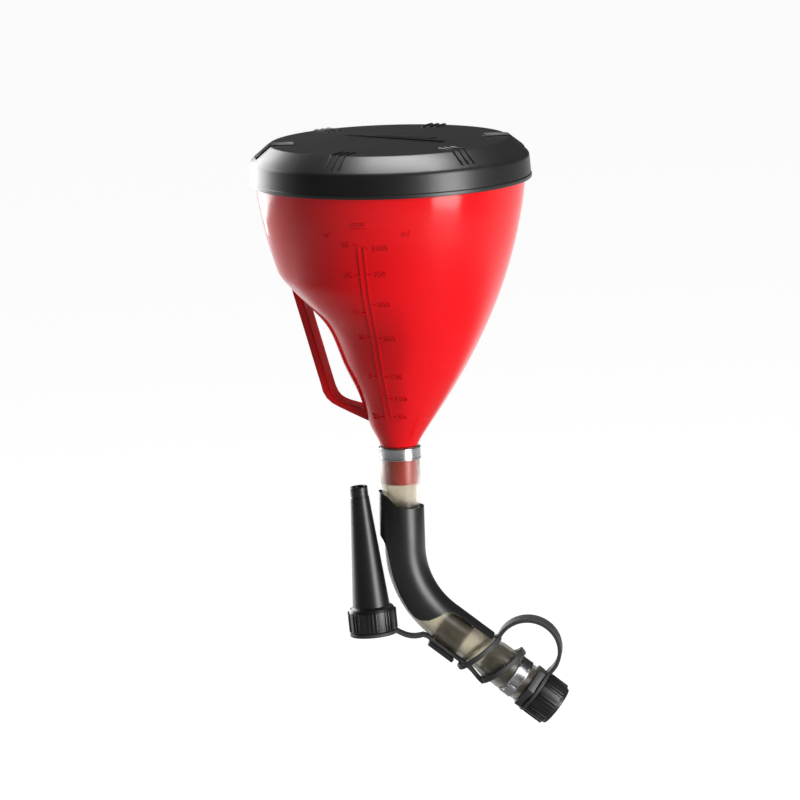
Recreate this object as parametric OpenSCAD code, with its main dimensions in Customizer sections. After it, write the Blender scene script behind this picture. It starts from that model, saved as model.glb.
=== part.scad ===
// Filling funnel: a covered bowl with a side handle, a bent clear hose, a screw cap on its outlet
// and a slim nozzle clipped beside the hose. The origin is on the bowl's axis, at the underside of
// the cone. +Z points up and the hose bends towards +X.

/* [Bowl] */
// Outer radius of the bowl at the rim
rim_r = 80.2; // [74:0.1:88]
// Height of the rim above the underside of the cone
bowl_h = 168; // [155:1:200]
// Wall thickness of the bowl
wall = 1.9; // [1.5:0.1:2.4]
// Depth by which the wall beside the handle is set in for the fingers
relief_shift = 9; // [8:0.5:10]
// Angle of the handle behind the plane of the hose
handle_turn = 14.3; // [0:0.1:30]
// Width of the handle across the hand
handle_w = 19; // [14:0.5:24]
// Outer radius of the spigot under the cone
spigot_r = 9.9; // [9.6:0.05:10.1]
// Length of the spigot
spigot_len = 23; // [19:1:26]
// Radius of the bore through the spigot
spigot_bore_r = 7.6; // [6.5:0.1:7.9]

/* [Lid] */
// Radial gap between the bowl's rim bead and the lid's skirt
lid_gap = 0.3; // [0.2:0.05:0.6]
// Height of the lid above its skirt's lower edge
lid_h = 24; // [22:1:28]
// Radius of the lid's flat top
lid_top_r = 70.6; // [64:0.2:73]
// Wall thickness of the lid
lid_wall = 1.6; // [1.2:0.1:2]
// Height of the raised ribs on the lid
rib_h = 1; // [0.6:0.1:1.4]

/* [Hose] */
// Outer radius of the hose
hose_r = 10.75; // [10.6:0.05:10.8]
// Wall thickness of the hose
hose_wall = 1.85; // [1.6:0.05:1.95]
// Depth of the bend's corner below the cone
corner_drop = 90.1; // [86:0.1:100]
// Radius of the bend at the middle of the hose
bend_r = 60; // [56:1:64]
// Angle through which the hose bends
bend_angle = 51; // [48:1:54]
// Length of the hose past the corner
hose_past = 91.1; // [90.6:0.1:91.2]

/* [Bend holder] */
// Wall thickness of the bend holder
holder_wall = 2.35; // [1.8:0.05:2.6]
// Half of the open angle on the outside of the bend
holder_open = 60; // [50:1:70]
// Length of the rear clip along the hose
clip_len = 18; // [14:0.5:18]

/* [Straps] */
// Width of both rubber straps
strap_w = 8; // [6:0.5:10]
// Thickness of both rubber straps
strap_t = 2; // [1.6:0.1:2]
// Width of the straps' rings along the hose
ring_w = 3; // [2.4:0.1:3.4]

/* [Cap and nozzle] */
// Wall of the cap around its thread, with the grip ribs
cap_wall = 3.6; // [3:0.1:4.2]
// Length of the cap with its collar
cap_len = 17.8; // [17:0.1:20]
// Wall of the nozzle's nut around its thread, with the grip ribs
nut_wall = 4.1; // [3.4:0.1:4.5]
// Height of the nozzle's nut with its collar
nut_h = 17; // [16.5:0.1:19]
// Whole length of the nozzle
nozzle_len = 90; // [80:1:100]
// Outer radius of the nozzle's tip
tip_r = 5.25; // [4.6:0.05:5.6]
// Radius of the nozzle's hole at the tip
tip_bore_r = 3.4; // [2.8:0.1:3.8]
// Outer radius of the outlet spout's thread
spout_r = 10.4; // [10.2:0.05:10.5]
// Radial clearance of the cap and the nut on the spout
thread_gap = 0.08; // [0.05:0.01:0.1]
// Radial clearance of a strap's eye around its collar
eye_gap = 0.08; // [0.05:0.01:0.1]

/* [Hidden] */
$fn = 96;

// Where one part passes another without touching it
gap = 0.3;
// How far one shape runs into the next where they join in one part
bite = 0.4;

// Step between two shapes that meet end to end, so that no two of their walls coincide
bump = 0.02;

// Bowl
rim_bead = 1.5;
rim_bead_h = 6;
// The handle and the set-in side are laid out for a rim of this radius and a bowl of this height
drawn_rim_r = 80.2;
drawn_bowl_h = 168;
as_wide = rim_r / drawn_rim_r;
as_tall = bowl_h / drawn_bowl_h;
// The bowl's outline from the cone's underside to the rim: end, two handles of the curve, end
bowl_curve = [[11.4, 0], [9, 5], [rim_r - 6, 0.42 * bowl_h], [rim_r + 0.3, bowl_h]];
bowl_steps = 14;
// The set-in outline beside the handle, from the cone's underside to above the rim
relief_curve = [[11.9, 0], [16.8, 12], [23.5, 32], [31, 50], [37.6, 69], [43.3, 79], [52.1, 88],
    [64.4, 101], [80, 121], [90, 140], [92, drawn_bowl_h]];
// The handle's outer and inner outlines, as distances from the bowl's axis and heights
grip_outer = [[-62, 103], [-64.6, 100], [-47.1, 37], [-45.6, 31.5], [-42, 26.5], [-38, 23.6],
    [-15, 12.2], [-14, 30], [-30, 64], [-44, 90]];
grip_inner = [[-51.6, 84.5], [-38, 36], [-36, 32], [-32.6, 29], [-20.5, 24.4], [-25, 40], [-36, 70]];

// Lid
shoulder_r = rim_r + 2.5;
skirt_r = rim_r + rim_bead + lid_gap + lid_wall;
// How far the lid's top stands above the bowl's rim
lid_rise = 14.8;
lid_z = bowl_h + lid_rise - lid_h;
shoulder_drop = 10;
rib_w = 1.3;
rib_pitch = 4.2;
rib_reach = 14.7;
first_rib_turn = -85;

// Hose
hose_in = hose_r - hose_wall;
hose_big_r = spigot_r + hose_wall + 0.05;
straight_drop = corner_drop - bend_r * tan(bend_angle / 2);
bend_run = bend_r * tan(bend_angle / 2);
flare_len = 5;
nipple_barb_r = spigot_r + 0.2;
nipple_start = 62.3;
barb_tip_r = min(hose_in, spigot_r) - gap;
barb_len = 5;
barb_rise = 0.4;
lower_flare = nipple_start - 1;

// Bend holder
holder_in = hose_r + gap;
holder_r = holder_in + holder_wall;
collar_top = -27;
collar_low = -54;
collar_slope = 18;
collar_open = 145;
collar_step = 0.25;
shell_angle = bend_angle - 5;
spine_end = 57.6;
spine_w = 10;
clip_start = 29.4;
clip_shift = strap_t / 2 + 0.6;
clip_in = hose_r + gap + clip_shift;

// Clamps
clamp_t = 0.6;
clamp_w = 7;
upper_clamp_top = -0.9;
lower_clamp_start = 79;
clamp_in = hose_big_r + 0.05;

// Outlet
flange_start = hose_past + gap;
flange_len = 4.7;
flange_across = 2 * spout_r + 4.8;
spout_start = flange_start + flange_len;
spout_len = 12.6;
nipple_bore_r = spout_r - 3.9;
thread_r = spout_r + thread_gap;
collar_r = thread_r + 1.32;
cap_r = thread_r + cap_wall;
nut_r = thread_r + nut_wall;
collar_len = 2.4;
cap_start = spout_start + gap;
seal_t = 1.2;
cap_floor = 3;
rib_rise = 0.5;

// Straps
ring_t = 2.1;
cap_ring_in = hose_r + strap_t + 0.85;
cap_ring_shift = strap_t / 2 + 0.4;
cap_ring_at = 57;
cap_ring_tilt = 16.5;
nozzle_ring_in = hose_big_r + 1.6;
nozzle_ring_at = 73;
nozzle_ring_tilt = 17;
eye_in = collar_r + eye_gap;
eye_r = eye_in + 2.42;
eye_len = collar_len - 0.2;
cap_arc_r = 19;
root_gap = 0.05;

// Nozzle
// The middle of the nut's open end, and how far the nozzle leans towards the handle
nozzle_aside = 8.15;
nozzle_base = [-hose_r - nozzle_aside, 0, -113.9];
nozzle_lean = 4;
nozzle_root_r = nut_r - 3.4;
nozzle_wall = 1.7;
tip_len = 6;
socket_depth = 13.4;
hinge_at = clip_start - 4.8;
link_gap = 2.9;
hinge_out = hose_r + gap + strap_t / 2;

// A point on a cubic curve, and the direction of the curve there
function on_curve(c, t) = pow(1 - t, 3) * c[0] + 3 * pow(1 - t, 2) * t * c[1]
    + 3 * (1 - t) * t * t * c[2] + pow(t, 3) * c[3];
function along_curve(c, t) = 3 * pow(1 - t, 2) * (c[1] - c[0]) + 6 * (1 - t) * t * (c[2] - c[1])
    + 3 * t * t * (c[3] - c[2]);
function inside_curve(c, t, d) = on_curve(c, t)
    + d * [-along_curve(c, t)[1], along_curve(c, t)[0]] / norm(along_curve(c, t));

// The outlet's frame: +Z along the lower hose, measured from the bend's corner, and +X towards
// the outside of the bend
module at_outlet(along = 0)
    translate([0, 0, -corner_drop]) rotate([0, 180 - bend_angle, 0]) translate([0, 0, along]) children();

// A point of the outlet's frame in the plane of the bend
function outlet_point(out, along) = [along * sin(bend_angle) - out * cos(bend_angle), 0,
    -corner_drop - along * cos(bend_angle) - out * sin(bend_angle)];

module at_nozzle() translate(nozzle_base) rotate([0, -nozzle_lean, 0]) children();

module tube(r_out, r_in, len)
    difference() {
        cylinder(r = r_out, h = len);
        translate([0, 0, -1]) cylinder(r = r_in, h = len + 2);
    }

module ring_2d(r_out, r_in)
    difference() {
        circle(r = r_out);
        circle(r = r_in);
    }

// A wedge that opens by half on each side of +X
module wedge_2d(half, reach)
    polygon([[0, 0], [reach * cos(half), -reach * sin(half)], [reach * 1.5, 0],
        [reach * cos(half), reach * sin(half)]]);

// A flat band of the strap's width that bends as an arc from one angle to another
module arc_band(r, from, to)
    rotate([90, 0, 0]) rotate([0, 0, from]) rotate_extrude(angle = to - from)
        translate([r, 0]) square([strap_t, strap_w], center = true);

module bowl_outline(inset, top)
    polygon(concat([[0, 0]],
        [for (i = [0:bowl_steps]) inside_curve(bowl_curve, i / bowl_steps, inset)],
        [[rim_r - inset, top], [0, top]]));

// An outline of the set-in side, stretched to the bowl's size
function on_bowl(outline) = [for (p = outline) [p[0] * as_wide, p[1] * as_tall]];

module relief_outline(inset, top)
    polygon(concat([[0, 0]], [for (p = on_bowl(relief_curve)) [p[0] + relief_shift - inset, p[1]]],
        [[rim_r + relief_shift, top], [0, top]]));

// The bowl's solid body, round on the hose's side and set in beside the handle
module bowl_body(inset, top)
    intersection() {
        rotate_extrude() bowl_outline(inset, top);
        translate([relief_shift, 0, 0]) rotate_extrude() relief_outline(inset * 1.2, top + 1);
    }

module handle()
    translate([0, handle_w / 2, 0]) rotate([90, 0, 0]) linear_extrude(handle_w)
        difference() {
            polygon(on_bowl(grip_outer));
            polygon(on_bowl(grip_inner));
        }

module funnel_bowl()
    color("red") rotate([0, 0, -handle_turn]) difference() {
        union() {
            bowl_body(0, bowl_h);
            translate([0, 0, bowl_h - rim_bead_h]) cylinder(r = rim_r + rim_bead, h = rim_bead_h);
            handle();
            translate([0, 0, -spigot_len]) cylinder(r = spigot_r - 0.3, h = spigot_len + bite);
            for (down = [14.6, 20]) translate([0, 0, -down - 3]) cylinder(r1 = spigot_r - 0.3,
                r2 = spigot_r, h = 3);
        }
        translate([0, 0, wall]) bowl_body(wall, bowl_h + 5);
        translate([0, 0, -spigot_len - 1]) cylinder(r = spigot_bore_r, h = spigot_len + 8);
    }

module lid_rib()
    translate([0, rib_w / 2, 0]) rotate([90, 0, 0]) linear_extrude(rib_w)
        polygon([[lid_top_r - rib_reach, lid_h - bite], [lid_top_r - rib_reach + 1, lid_h + rib_h],
            [lid_top_r + 0.4, lid_h + rib_h], [lid_top_r + 9.2, lid_h - 6.2],
            [lid_top_r + 8, lid_h - 7.6], [lid_top_r - 1, lid_h - bite]]);

module lid()
    color("#202124") translate([0, 0, lid_z]) union() {
        rotate_extrude() polygon([[0, lid_h], [lid_top_r, lid_h], [shoulder_r, lid_h - shoulder_drop],
            [skirt_r, 0], [skirt_r - lid_wall, 0], [skirt_r - lid_wall, 9.3],
            [rim_r - 1.9, lid_h - shoulder_drop - 0.9], [lid_top_r - 0.6, lid_h - lid_wall],
            [0, lid_h - lid_wall]]);
        for (group = [0:5]) rotate([0, 0, -90 + first_rib_turn + 60 * group])
            for (side = [-1:1]) translate([0, side * rib_pitch, 0]) lid_rib();
    }

// The straight hose, wider where it is pushed over the spigot and the nipple
module hose_run(len, start_r, big, flare_from, flare_to)
    rotate_extrude() polygon([[0, 0], [start_r, 0], [start_r, flare_from], [big, flare_to],
        [big, len], [0, len]]);

module hose_solid(r, big, past)
    union() {
        translate([0, 0, -straight_drop]) hose_run(straight_drop - gap + past, r, big,
            straight_drop - spigot_len - flare_len, straight_drop - spigot_len + 1);
        around_bend(0, bend_angle) circle(r = r + bump);
        at_outlet(bend_run) hose_run(hose_past - bend_run + past, r, big + 0.2, lower_flare - bend_run,
            lower_flare + flare_len - bend_run);
    }

module hose()
    color("#cfc9a8", 0.6) difference() {
        hose_solid(hose_r, hose_big_r, 0);
        hose_solid(hose_in, spigot_r + root_gap, 1);
    }

module clamp_band() tube(clamp_in + 0.2 + clamp_t, clamp_in + 0.2, clamp_w);

module upper_hose_clamp()
    color("silver") translate([0, 0, upper_clamp_top - clamp_w]) union() {
        tube(clamp_in + clamp_t, clamp_in, clamp_w);
        translate([-3, clamp_in + clamp_t / 2, 0.5]) cube([6, 2.6, clamp_w - 1]);
    }

module lower_hose_clamp()
    color("silver") at_outlet(lower_clamp_start) union() {
        clamp_band();
        rotate([0, 0, -60]) translate([clamp_in + clamp_t, -3.4, 0.6]) cube([2, 6.8, clamp_w - 1.2]);
    }

// The channel's section, open towards the outside of the bend
module holder_section(grow)
    difference() {
        ring_2d(holder_r + grow, holder_in - grow);
        wedge_2d(holder_open, holder_r * 2.2);
    }

// The narrow part of the holder's section, on the inside of the bend
module holder_spine_section(grow)
    intersection() {
        ring_2d(holder_r + grow, holder_in - grow);
        translate([-20, -spine_w / 2 - grow]) square([20, spine_w + 2 * grow]);
    }

// A stretch of the bend from one angle to another, with its section drawn around the hose
module around_bend(from, to)
    translate([bend_r, 0, -straight_drop]) rotate([90, 0, 0]) rotate([0, 0, 180 + from])
        rotate_extrude(angle = to - from) translate([bend_r, 0]) children();

// The split collar, with its upper edge cut on a slant
module holder_collar()
    difference() {
        translate([0, 0, collar_low]) linear_extrude(collar_top + 2 - collar_low) difference() {
            ring_2d(holder_r + collar_step, holder_in - gap / 3);
            rotate([0, 0, collar_open]) wedge_2d(30, 30);
        }
        translate([-holder_r, -20, collar_top - 1]) rotate([0, collar_slope, 0]) translate([-5, 0, 0])
            cube([60, 40, 30]);
    }

module rear_clip()
    translate([clip_shift, 0, 0]) linear_extrude(clip_len) difference() {
        ring_2d(clip_in + holder_wall, clip_in - gap / 3);
        rotate([0, 0, -95]) wedge_2d(77, 30);
    }

module bend_holder()
    color("#1c1c1e") union() {
        holder_collar();
        translate([0, 0, -straight_drop]) rotate([0, 0, 180])
            linear_extrude(straight_drop + collar_low + bite) holder_section(0);
        around_bend(0, shell_angle) holder_section(bump);
        around_bend(shell_angle - 2, bend_angle) holder_spine_section(2 * bump);
        at_outlet(bend_run) linear_extrude(spine_end - bend_run) holder_spine_section(bump);
        at_outlet(clip_start) rear_clip();
    }

module outlet_nipple()
    color("#2a2b2d") at_outlet() difference() {
        union() {
            translate([0, 0, nipple_start + barb_len - 1]) cylinder(r = nipple_barb_r - barb_rise,
                h = flange_start - nipple_start - barb_len + 1 + bite);
            translate([0, 0, nipple_start]) cylinder(r1 = barb_tip_r, r2 = nipple_barb_r, h = barb_len);
            translate([0, 0, nipple_start + barb_len + 1.5]) cylinder(r1 = nipple_barb_r - barb_rise - bump,
                r2 = nipple_barb_r, h = barb_len);
            translate([0, 0, flange_start]) cylinder(d = flange_across / cos(30), h = flange_len, $fn = 6);
            translate([0, 0, spout_start - bite]) cylinder(r = spout_r, h = spout_len + bite);
        }
        translate([0, 0, nipple_start - 1]) cylinder(r = nipple_bore_r, h = 60);
    }

// A ribbed screw ring with a narrow collar at its open end and a threaded socket from there
module screw_ring(r, len, depth)
    union() {
        rotate_extrude() polygon([[thread_r, 0], [collar_r, 0], [collar_r, collar_len],
            [r - rib_rise, collar_len], [r - rib_rise, len - 1.2], [r - rib_rise - 1.2, len],
            [0, len], [0, depth], [thread_r, depth]]);
        for (i = [0:7]) for (j = [-1:1]) rotate([0, 0, 45 * i + 9 * j])
            translate([r - 1.5, -0.7, collar_len + bite]) cube([1.5, 1.4, len - collar_len - 2]);
    }

module outlet_cap() color("#1c1c1e") at_outlet(cap_start) screw_ring(cap_r, cap_len, cap_len - cap_floor);

module cap_seal()
    color("#3a3a3a") at_outlet(cap_start + cap_len - cap_floor - seal_t)
        cylinder(r = thread_r - 0.2, h = seal_t);

// A ring around the hose, tilted as it lies on the slope of the strap
module strap_ring(r_in, shift, along, tilt)
    at_outlet(along) translate([shift, 0, 0]) rotate([0, tilt, 0]) translate([0, 0, -ring_w / 2])
        tube(r_in + ring_t, r_in, ring_w);

cap_root = outlet_point(-hose_r - 2, cap_ring_at + 3.9);
cap_tip = outlet_point(-eye_r - strap_t / 2 - root_gap, cap_start + eye_len / 2);
cap_chord = cap_tip - cap_root;
cap_span = norm(cap_chord);
cap_rise = sqrt(cap_arc_r * cap_arc_r - cap_span * cap_span / 4);
cap_slope = atan2(cap_chord[2], cap_chord[0]);
cap_centre = (cap_root + cap_tip) / 2 + cap_rise * [-sin(cap_slope), 0, cos(cap_slope)];
cap_half = 180 - acos(cap_rise / cap_arc_r);

module cap_strap()
    color("#2b2b2d") union() {
        strap_ring(cap_ring_in, cap_ring_shift, cap_ring_at, cap_ring_tilt);
        translate(cap_centre) arc_band(cap_arc_r, cap_slope + 90 - cap_half, cap_slope + 90 + cap_half);
    }

module cap_eye()
    color("#2b2b2d") at_outlet(cap_start) tube(eye_r, eye_in, eye_len);

// The strap's path along the hose: flat under the clip and the cap's ring, then bulging out to its own ring
function bulge(t) = (nozzle_ring_in + ring_t / 2 - hinge_out) * (1 - cos(180 * t)) / 2;

module nozzle_strap_ring()
    color("#2b2b2d") union() {
        strap_ring(nozzle_ring_in, 0, nozzle_ring_at, nozzle_ring_tilt);
        at_outlet() translate([0, strap_w / 2, 0]) rotate([90, 0, 0]) linear_extrude(strap_w) {
            translate([hinge_out - strap_t / 2, hinge_at + link_gap])
                square([strap_t, cap_ring_at - 1 - hinge_at - link_gap]);
            polygon(concat(
                [for (i = [0:8]) [hinge_out - strap_t / 2 + bulge(i / 8), cap_ring_at - 1.4 + i * 1.8]],
                [for (i = [8:-1:0]) [hinge_out + strap_t / 2 + bulge(i / 8), cap_ring_at - 1.4 + i * 1.8]]));
        }
    }

link_from = outlet_point(hinge_out, hinge_at);
link_to = nozzle_base + [nut_r * cos(nozzle_lean) + 0.5, 0, nut_r * sin(nozzle_lean) + eye_len / 2];
link_chord = link_to - link_from;
link_slope = atan2(link_chord[2], link_chord[0]);
link_half = 19;
link_r = norm(link_chord) / 2 / sin(link_half);
link_centre = (link_from + link_to) / 2 + link_r * cos(link_half) * [-sin(link_slope), 0, cos(link_slope)];

module nozzle_strap_link()
    color("#2b2b2d") union() {
        translate(link_centre) arc_band(link_r, link_slope - 90 - link_half, link_slope - 90 + link_half);
        translate(link_from) rotate([90, 0, 0]) cylinder(r = strap_t / 2 - bump, h = strap_w, center = true);
    }

module nozzle_eye()
    color("#2b2b2d") at_nozzle() tube(eye_r, eye_in, eye_len);

module nozzle()
    color("#1c1c1e") at_nozzle() difference() {
        union() {
            screw_ring(nut_r, nut_h, socket_depth);
            translate([0, 0, nut_h - bite]) cylinder(r1 = nozzle_root_r, r2 = tip_r + 0.2,
                h = nozzle_len - tip_len - nut_h + bite);
            translate([0, 0, nozzle_len - tip_len - bite]) cylinder(r = tip_r, h = tip_len + bite);
        }
        translate([0, 0, socket_depth - bite]) cylinder(r1 = nozzle_root_r - nozzle_wall, r2 = tip_bore_r,
            h = nozzle_len - tip_len - socket_depth);
        translate([0, 0, nozzle_len - tip_len - 1]) cylinder(r = tip_bore_r, h = tip_len + 2);
    }

module nozzle_seal()
    color("#3a3a3a") at_nozzle() translate([0, 0, socket_depth - seal_t]) tube(thread_r - 0.2, 7, seal_t);

funnel_bowl();
lid();
hose();
upper_hose_clamp();
lower_hose_clamp();
bend_holder();
outlet_nipple();
outlet_cap();
cap_seal();
cap_strap();
cap_eye();
nozzle();
nozzle_seal();
nozzle_strap_ring();
nozzle_strap_link();
nozzle_eye();
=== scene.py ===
"""Filling funnel: a red covered bowl with a side handle, a bent clear hose in a black holder,
a strapped screw cap on the outlet and a slim nozzle on a second strap."""
from math import atan2, cos, degrees, pi, radians, sin, sqrt, tan

import bpy
from mathutils import Matrix, Vector


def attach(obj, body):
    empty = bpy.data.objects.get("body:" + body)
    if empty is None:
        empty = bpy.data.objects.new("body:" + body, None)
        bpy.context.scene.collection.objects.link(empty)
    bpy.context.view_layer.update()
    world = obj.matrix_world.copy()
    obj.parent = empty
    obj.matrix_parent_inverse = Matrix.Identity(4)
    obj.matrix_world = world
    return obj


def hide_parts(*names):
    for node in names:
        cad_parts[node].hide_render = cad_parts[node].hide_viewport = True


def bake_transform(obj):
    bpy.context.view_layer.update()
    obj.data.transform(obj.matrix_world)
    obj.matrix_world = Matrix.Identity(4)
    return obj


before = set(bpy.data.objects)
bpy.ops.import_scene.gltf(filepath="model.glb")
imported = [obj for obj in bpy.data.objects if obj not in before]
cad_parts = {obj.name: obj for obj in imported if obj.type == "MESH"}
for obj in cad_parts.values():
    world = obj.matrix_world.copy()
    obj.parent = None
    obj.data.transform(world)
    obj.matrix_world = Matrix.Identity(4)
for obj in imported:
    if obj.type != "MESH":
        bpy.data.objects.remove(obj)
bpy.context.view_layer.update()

# Every size below is in millimetres, and MM turns it into Blender's metres.
MM = 0.001

# ---------------------------------------------------------------- sizes

# Bowl: rim at the top, underside of the cone at height 0
RIM_R = 80.2
BOWL_H = 168.0
BOWL_WALL = 1.9
HANDLE_TURN = 14.3
HANDLE_W = 19.0
SPIGOT_R = 9.9
SPIGOT_LEN = 23.0

# Lid
LID_H = 24.0
LID_Z = 158.8
LID_TOP_R = 70.6
SHOULDER_R = 82.4
SKIRT_R = 83.6
LID_WALL = 1.6

# Hose: straight down, round the bend, then straight to the outlet
HOSE_R = 10.75
HOSE_WALL = 1.85
CORNER_DROP = 90.1
BEND_R = 60.0
BEND_ANGLE = 51.0
HOSE_PAST = 91.1
# Where the hose starts to widen for the nipple, and how long it takes
SWELL_START = 61.3
SWELL_LEN = 5.0
BEND_RUN = BEND_R * tan(radians(BEND_ANGLE / 2))
STRAIGHT_DROP = CORNER_DROP - BEND_RUN

# Clamps, placed down from the cone's underside and along the outlet's axis
CLAMP_LEN = 7.0
UPPER_CLAMP_IN = 11.87
UPPER_CLAMP_Z = -7.9
LOWER_CLAMP_IN = 12.06
LOWER_CLAMP_AT = 80.0

# Bend holder
HOLDER_TOP = 26.8
HOLDER_IN = HOSE_R + 0.3
HOLDER_R = HOLDER_IN + 2.35
CLIP_START = 29.4
CLIP_LEN = 18.0
CLIP_SHIFT = 1.6
SPINE_END = 57.6

# Outlet, cap and nozzle
SPOUT_R = 10.4
FLANGE_START = 91.4
SPOUT_START = 96.1
CAP_START = 96.4
CAP_R = 14.1
CAP_LEN = 17.8
NUT_R = 14.6
NUT_H = 17.0
NOZZLE_LEN = 90.0
NOZZLE_LEAN = 4.0
NOZZLE_BASE = (-18.9, 0.0, -113.9)
TIP_R = 5.25
TIP_BORE = 3.4

# Straps
STRAP_W = 8.0
STRAP_T = 2.0
EYE_R = 14.3
EYE_IN = 11.88
EYE_LEN = 2.2
RING_T = 2.1
RING_W = 3.0
CAP_RING_IN = 13.6
CAP_RING_SHIFT = 1.4
CAP_RING_AT = 57.0
CAP_RING_TILT = 16.5
CAP_LOOP_R = 19.0
CAP_LOOP_LEAN = 10.0
NOZZLE_RING_IN = 13.4
NOZZLE_RING_AT = 73.0
NOZZLE_RING_TILT = 17.0
HINGE_AT = 24.6
HINGE_OUT = HOSE_R + 0.3 + STRAP_T / 2

# Screw sockets of the cap and the nozzle's nut
THREAD_R = SPOUT_R + 0.08
COLLAR_R = 11.8
COLLAR_LEN = 2.4

# Places: the outlet's own axis is Z of OUTLET, with X towards the outside of the bend
OUTLET = Matrix.Translation((0, 0, -CORNER_DROP * MM)) @ Matrix.Rotation(radians(180 - BEND_ANGLE), 4, "Y")
NOZZLE = Matrix.Translation(Vector(NOZZLE_BASE) * MM) @ Matrix.Rotation(radians(-NOZZLE_LEAN), 4, "Y")
BOWL = Matrix.Rotation(radians(-HANDLE_TURN), 4, "Z")


def lifted(height, aside=0.0):
    """A move up Z, and aside along X, in millimetres."""
    return Matrix.Translation((aside * MM, 0, height * MM))


# ---------------------------------------------------------------- modelling by hand

def put_down():
    """Leaves edit mode and deselects everything."""
    if bpy.context.mode != "OBJECT":
        bpy.ops.object.mode_set(mode="OBJECT")
    bpy.ops.object.select_all(action="DESELECT")


def pick_up(piece):
    """Makes one piece the only selected and active one."""
    put_down()
    piece.select_set(True)
    bpy.context.view_layer.objects.active = piece


def edit(piece):
    """Opens a piece in edit mode with all of its points selected."""
    pick_up(piece)
    bpy.ops.object.mode_set(mode="EDIT")
    bpy.ops.mesh.select_mode(type="VERT")
    bpy.ops.mesh.select_all(action="SELECT")


def turn(angle, axis, about):
    """Turns what is selected by the right-hand rule, in degrees, about a point in millimetres."""
    bpy.ops.transform.rotate(value=-radians(angle), orient_axis=axis, center_override=Vector(about) * MM)


def settle(piece, place=Matrix(), smooth=35):
    """Puts a finished piece in its place, with the object itself at the origin."""
    pick_up(piece)
    bpy.ops.object.transform_apply(location=True, rotation=True, scale=True)
    piece.matrix_world = place
    bpy.context.view_layer.update()
    bpy.ops.object.transform_apply(location=True, rotation=True, scale=True)
    bpy.ops.object.shade_smooth_by_angle(angle=radians(smooth))
    return piece


def heal(piece):
    """Merges doubles, closes open ends and turns every face outwards."""
    edit(piece)
    bpy.ops.mesh.remove_doubles(threshold=0.000002)
    bpy.ops.mesh.select_all(action="DESELECT")
    bpy.ops.mesh.select_non_manifold()
    bpy.ops.mesh.fill_holes(sides=0)
    bpy.ops.mesh.select_all(action="SELECT")
    bpy.ops.mesh.normals_make_consistent(inside=False)
    put_down()


def modify(piece, kind, **settings):
    """Adds a modifier, sets it and applies it."""
    pick_up(piece)
    bpy.ops.object.modifier_add(type=kind)
    modifier = piece.modifiers[-1]
    for key, value in settings.items():
        setattr(modifier, key, value)
    bpy.ops.object.modifier_apply(modifier=modifier.name)


def cut(piece, cutter):
    """Cuts one piece with another, which is used up."""
    modify(piece, "BOOLEAN", operation="DIFFERENCE", object=cutter, solver="EXACT")
    pick_up(cutter)
    bpy.ops.object.delete()


def join(first, *others):
    """Joins pieces into the first one."""
    pick_up(first)
    for piece in others:
        piece.select_set(True)
    bpy.ops.object.join()
    return first


def copy_of(piece, place=Matrix()):
    """A copy with its own mesh, moved to its place."""
    pick_up(piece)
    bpy.ops.object.duplicate()
    twin = bpy.context.object
    twin.matrix_world = place
    bpy.context.view_layer.update()
    bpy.ops.object.transform_apply(location=True, rotation=True, scale=True)
    return twin


class Wall:
    """A ring of edges that is drawn out, step by step, into a wall."""

    def __init__(self, name, radius, height=0.0, facing=1, sides=96):
        put_down()
        bpy.ops.mesh.primitive_circle_add(vertices=sides, radius=radius * MM, location=(0, 0, height * MM))
        self.piece = bpy.context.object
        self.piece.name = name
        self.at = Vector((0, 0, height))
        self.facing = Vector((0, 0, facing))
        self.radius = radius
        bpy.ops.object.mode_set(mode="EDIT")
        bpy.ops.mesh.select_all(action="SELECT")

    def run(self, along, radius=None, aside=0.0):
        """Draws the ring along its direction, to a new radius, and aside along X."""
        move = self.facing * along + Vector((aside, 0, 0))
        bpy.ops.mesh.extrude_region_move(TRANSFORM_OT_translate={"value": move * MM})
        self.at += move
        if radius and radius != self.radius:
            grow = radius / self.radius
            bpy.ops.transform.resize(value=(grow, grow, grow), center_override=self.at * MM)
            self.radius = radius

    def bend(self, angle, centre, steps):
        """Draws the ring round an arc about Y."""
        bpy.ops.mesh.spin(steps=steps, angle=-radians(angle), center=Vector(centre) * MM, axis=(0, 1, 0))
        around = Matrix.Rotation(radians(angle), 3, "Y")
        self.at = Vector(centre) + around @ (self.at - Vector(centre))
        self.facing = around @ self.facing

    def done(self, closed=True):
        put_down()
        if closed:
            heal(self.piece)
        return self.piece


def softened(outline, steps=3):
    """A closed outline of (across, up) or (across, up, radius) with its corners rounded."""
    soft = []
    for i, corner in enumerate(outline):
        here = Vector(corner[:2])
        radius = corner[2] if len(corner) > 2 else 0
        if not radius:
            soft.append(here)
            continue
        back = Vector(outline[i - 1][:2]) - here
        ahead = Vector(outline[(i + 1) % len(outline)][:2]) - here
        half = back.angle(ahead) / 2
        reach = min(radius / tan(half), 0.48 * back.length, 0.48 * ahead.length)
        for j in range(steps + 1):
            u = j / steps
            soft.append(here + back.normalized() * reach * (1 - u) ** 2 + ahead.normalized() * reach * u * u)
    return soft


def turned(name, outline, sides=96, place=Matrix(), smooth=35):
    """A piece turned on a lathe from its outline of (radius, height, corner radius)."""
    points = softened(outline)
    wall = Wall(name, points[0][0], points[0][1], sides=sides)
    for last, here in zip(points, points[1:] + points[:1]):
        wall.run(here[1] - last[1], here[0])
    return settle(wall.done(), place, smooth)


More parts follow.
